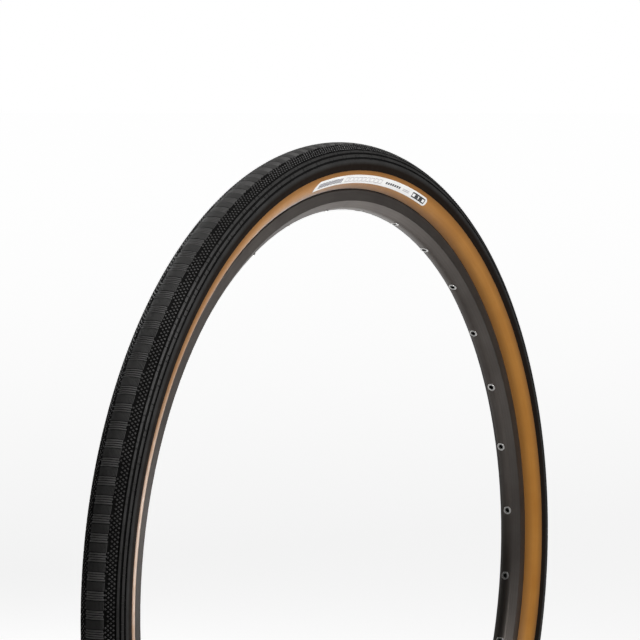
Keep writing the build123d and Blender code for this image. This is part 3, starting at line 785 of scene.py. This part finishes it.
def frames(side, span, rise, line, count=1, lean=0.0):
    """A row of slanted open frames, each of four thin lines."""
    first, last, low, high = mark_bounds(span, rise)
    pitch = (last - first) / count
    made = []
    for i in range(count):
        begin, end = first + i * pitch, first + (i + FRAME_FILL) * pitch
        for start, stop in ((begin, begin + line), (end - line, end)):
            made.append(mark(start, stop, low, high, side, lean))
        for bottom in (low, high - line):
            shift = lean * (bottom - low) + line
            made.append(mark(begin + shift, end + shift - 2 * line, bottom, bottom + line, side, lean))
    return made


def slanted_end(up):
    """Where the label starts: at its tip beside the rim, and farther along towards the tread."""
    return LABEL_SLANT * (up / LABEL_WIDTH) ** LABEL_SLANT_CURVE


def rounded_end(up):
    """Where the label ends: a half circle as tall as the label."""
    radius = LABEL_WIDTH / 2
    return LABEL_LENGTH - radius + sqrt(max(0, radius**2 - (up - radius) ** 2))


def labels():
    """A white panel on each side with a slanted and a rounded end, and generic marks printed on it."""
    for side, name in ((1, "left"), (-1, "right")):
        patch = label_patch(slanted_end, rounded_end, 0, LABEL_WIDTH, side, LABEL_LIFT, LABEL_HEIGHT)
        panel = make_piece(f"label_panel_{name}", *patch, LABEL_WHITE, slot="label_print", smooth_angle=50)
        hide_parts(f"sidewall_label_{name}")
        dark = bars(side, "bars", MARK_RISE, count=16, fill=0.62, lean=MARK_LEAN)
        make_piece(f"label_bars_{name}", *join(dark), INK_DARK, slot="label_print")
        pale = frames(side, "frames", MARK_RISE, FRAME_LINE, count=9, lean=MARK_LEAN)
        for rise in STRIPE_RISES:
            pale += bars(side, "stripes", rise)
        make_piece(f"label_frames_{name}", *join(pale), INK_PALE, slot="label_print")
        black = bars(side, "dashes", DASH_RISE, count=7, fill=0.7, lean=DASH_LEAN)
        black += frames(side, "emblem", EMBLEM_RISE, EMBLEM_LINE)
        black += bars(side, "emblem_bars", EMBLEM_BAR_RISE, count=2, fill=0.76)
        make_piece(f"label_emblem_{name}", *join(black), INK_BLACK, slot="label_print")


labels()


# ---------------------------------------------------------------- valve
def turned(name, rings, ripple, material, body, slot, segments, closed=True, smooth_angle=40):
    """A piece turned about the valve's line from (radius, distance, groove depth) rings.

    The ripple, from 0 to 1, is a function of the turn about the line and the distance from the axle.
    A closed section is a loop; otherwise flat faces close off its first and last rings.
    """
    turn = np.linspace(0, tau, segments, endpoint=False)[None, :]
    radius, distance, depth = (np.array(column, float)[:, None] for column in zip(*rings))
    radius = radius - depth * ripple(turn, distance)
    along = np.array((cos(VALVE_ANGLE), 0, sin(VALVE_ANGLE)))
    sideways = np.array((-sin(VALVE_ANGLE), 0, cos(VALVE_ANGLE)))
    across = np.array((0, 1, 0))
    spin = np.cos(turn)[..., None] * across + np.sin(turn)[..., None] * sideways
    points = (distance[..., None] * along + radius[..., None] * spin).reshape(-1, 3) * MM
    faces = grid_faces(len(rings), segments, close_rows=closed)
    if not closed:
        faces.append(tuple(range(segments)))
        faces.append(tuple(range(segments * (len(rings) - 1), segments * len(rings))))
    return make_piece(name, points, faces, material, body, slot, smooth_angle)


def thread_ripple(turn, distance):
    """Height lost below the crests of a right-handed screw thread."""
    phase = (distance / THREAD_PITCH + turn / tau) % 1
    return np.clip(THREAD_FLANK * np.abs(2 * phase - 1) - THREAD_CREST, 0, 1)


def groove_ripple(count):
    """Rounded grooves parallel to the line, a number of them around the piece."""
    return lambda turn, distance: np.clip(np.cos(turn * count), 0, 1) ** GROOVE_POWER


def knurl_ripple(count, pitch):
    """Crossed diagonal grooves, a number of them around the piece, which shift by one in each pitch."""
    def ripple(turn, distance):
        slope = tau * distance / pitch
        first, second = np.cos(count * turn + slope), np.cos(count * turn - slope)
        return 1 - np.clip(np.minimum(first, second) * 0.5 + 0.5, 0, 1) ** KNURL_POWER
    return ripple


def valve():
    """Threaded stem, its knurled nut, the core's tip nut and the ribbed dust cap."""
    rings = list(STEM_INSIDE)
    count = int((THREAD_END - THREAD_START) / THREAD_PITCH * RINGS_PER_TURN)
    for i, distance in enumerate(np.linspace(THREAD_START, THREAD_END, count)):
        fade = min(1.0, i / RINGS_PER_TURN, (count - 1 - i) / RINGS_PER_TURN)
        rings.append((STEM_RADIUS, distance, THREAD_DEPTH * fade))
    rings += STEM_FOOT
    stem = turned("valve_stem_threaded", rings, thread_ripple, BRASS, "wheel", "plated_brass", STEM_SEGMENTS)
    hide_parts("valve_stem")

    rings, knurls = NUT_FIRST_EDGE + NUT_GRIP + NUT_LAST_EDGE, knurl_ripple(NUT_KNURLS, NUT_KNURL_PITCH)
    nut = turned(
        "stem_nut_knurled", rings, knurls, BRASS, "rim_nut", "plated_brass", NUT_SEGMENTS, smooth_angle=55
    )
    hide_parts("stem_nut")

    grooves = groove_ripple(TIP_GROOVES)
    tip = turned("tip_nut_grooved", TIP_NUT, grooves, BRASS, "pin_nut", "plated_brass", TIP_SEGMENTS)
    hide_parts("tip_nut")

    rings, grooves = CAP_OUTSIDE + CAP_INSIDE, groove_ripple(CAP_GROOVES)
    cap = turned(
        "dust_cap_ribbed", rings, grooves, CAP_PLASTIC, "cap", "cap_plastic", CAP_SEGMENTS, closed=False
    )
    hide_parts("dust_cap")


valve()


# ---------------------------------------------------------------- camera, light and floor
CAMERA_AIM = Vector((0.0034, 0.0188, 0.2087))
CAMERA_AZIMUTH = radians(-59.23)
CAMERA_ELEVATION = radians(3.444)
CAMERA_DISTANCE = 2.9015
CAMERA_LENS, CAMERA_FAR = 197.62, 2000

# each softbox: name, place, aim, size in metres and power in watts
SOFTBOXES = (
    ("key_softbox", (-0.25, -1.0, 0.72), (0, 0, 0.15), 0.5, 13.4),
    ("low_softbox", (1.0, -0.95, 0.22), (0, 0, 0.1), 0.35, 0.7),
    ("edge_softbox", (0.1, -0.06, 0.0), (-0.35, -0.02, 0.05), 0.12, 0.5),
    ("top_softbox", (-0.75, -0.15, 1.9), (-0.25, 0, 0.1), 0.9, 10.0),
    ("back_softbox", (0.6, 1.6, 1.0), (0, 0, 0.1), 1.0, 13.5),
)
# light from the surroundings: heights it changes between, and its strength at each
WORLD_RAMP = (0.0, 1.0, 0.0, 0.12)

FLOOR_REACH, FLOOR_GAP = 500.0, 0.0005
FLOOR_WHITE, FLOOR_FADE, FLOOR_SPREAD = 0.945, 2.2, 9.0
# the patch of floor that lights the wheel: its middle, where its glow starts to fall and where it ends
GLOW_X, GLOW_Y, GLOW_INNER, GLOW_OUTER = 1.3, 0.1, 0.5, 1.1
GLOW_FULL, GLOW_REST = 1.05, 0.0


def add_camera():
    """A long lens, close to level, looking along the wheel from its right-hand side."""
    flat = cos(CAMERA_ELEVATION)
    back = Vector((sin(CAMERA_AZIMUTH) * flat, -cos(CAMERA_AZIMUTH) * flat, sin(CAMERA_ELEVATION)))
    camera = bpy.data.objects.new("camera", bpy.data.cameras.new("camera"))
    bpy.context.scene.collection.objects.link(camera)
    camera.data.lens = CAMERA_LENS
    camera.data.clip_end = CAMERA_FAR
    camera.location = CAMERA_AIM + back * CAMERA_DISTANCE
    camera.rotation_euler = (-back).to_track_quat("-Z", "Y").to_euler()
    bpy.context.scene.camera = camera


def add_area(name, place, aim, size, power):
    """A square softbox at a place, facing a point, that lights the object without being seen."""
    lamp = bpy.data.lights.new(name, "AREA")
    lamp.size = size
    lamp.energy = power
    light = bpy.data.objects.new(name, lamp)
    light.location = place
    light.rotation_euler = (Vector(place) - Vector(aim)).to_track_quat("Z", "Y").to_euler()
    light.visible_camera = False
    bpy.context.scene.collection.objects.link(light)


def add_world():
    """White surroundings for the camera; as light they are dim at the horizon and brighter overhead."""
    world = bpy.data.worlds.new("studio")
    bpy.context.scene.world = world
    world.use_nodes = True
    tree = world.node_tree
    nodes, links = tree.nodes, tree.links
    direction = nodes.new("ShaderNodeSeparateXYZ")
    links.new(nodes.new("ShaderNodeTexCoord").outputs["Generated"], direction.inputs[0])
    strength = nodes.new("ShaderNodeMapRange")
    links.new(direction.outputs["Z"], strength.inputs["Value"])
    for key, number in zip(("From Min", "From Max", "To Min", "To Max"), WORLD_RAMP):
        strength.inputs[key].default_value = number
    seen = nodes.new("ShaderNodeLightPath").outputs["Is Camera Ray"]
    shown = nodes.new("ShaderNodeMix")
    links.new(seen, shown.inputs["Factor"])
    links.new(strength.outputs[0], shown.inputs["A"])
    shown.inputs["B"].default_value = 1.0
    background = nodes["Background"]
    background.inputs["Color"].default_value = (1, 1, 1, 1)
    links.new(shown.outputs["Result"], background.inputs["Strength"])


def add_floor():
    """A broad pale floor under the wheel, which the camera sees fade to white with distance.

    As light, only a round patch of it glows, beyond the wheel as the camera sees it.
    """
    n = Nodes("studio_floor")
    x, y, _ = n.add("ShaderNodeSeparateXYZ", Vector=n.place).outputs
    square = n.math("ADD", n.math("MULTIPLY", x, x), n.math("MULTIPLY", y, y))
    material = n.finish(grey(0.6, 0), 0.9)
    seen = n.add("ShaderNodeLightPath").outputs["Is Camera Ray"]
    dimmer = n.math("DIVIDE", FLOOR_FADE, n.math("ADD", square, FLOOR_SPREAD))
    fade = n.math("SUBTRACT", FLOOR_WHITE, dimmer)
    away = n.vector(n.math("SUBTRACT", x, GLOW_X), n.math("SUBTRACT", y, GLOW_Y), 0.0)
    away = n.add("ShaderNodeVectorMath", Vector=away)
    away.operation = "LENGTH"
    glow = n.spread(away.outputs["Value"], GLOW_INNER, GLOW_OUTER, GLOW_FULL, GLOW_REST)
    shown = n.add("ShaderNodeMix", A=glow, B=fade, Factor=seen).outputs["Result"]
    n.shader.inputs["Specular IOR Level"].default_value = 0.0
    n.shader.inputs["Emission Color"].default_value = (1, 1, 1, 1)
    n.put(shown, n.shader.inputs["Emission Strength"])
    mesh = bpy.data.meshes.new("studio_floor")
    height = cad_box[0].z - FLOOR_GAP
    ways = ((-1, -1), (1, -1), (1, 1), (-1, 1))
    corners = [(right * FLOOR_REACH, back * FLOOR_REACH, height) for right, back in ways]
    mesh.from_pydata(corners, [], [(0, 1, 2, 3)])
    mesh.materials.append(material)
    floor = bpy.data.objects.new("studio_floor", mesh)
    bpy.context.scene.collection.objects.link(floor)


add_camera()
add_world()
add_floor()
for softbox in SOFTBOXES:
    add_area(*softbox)
bpy.context.scene.view_settings.view_transform = "Standard"
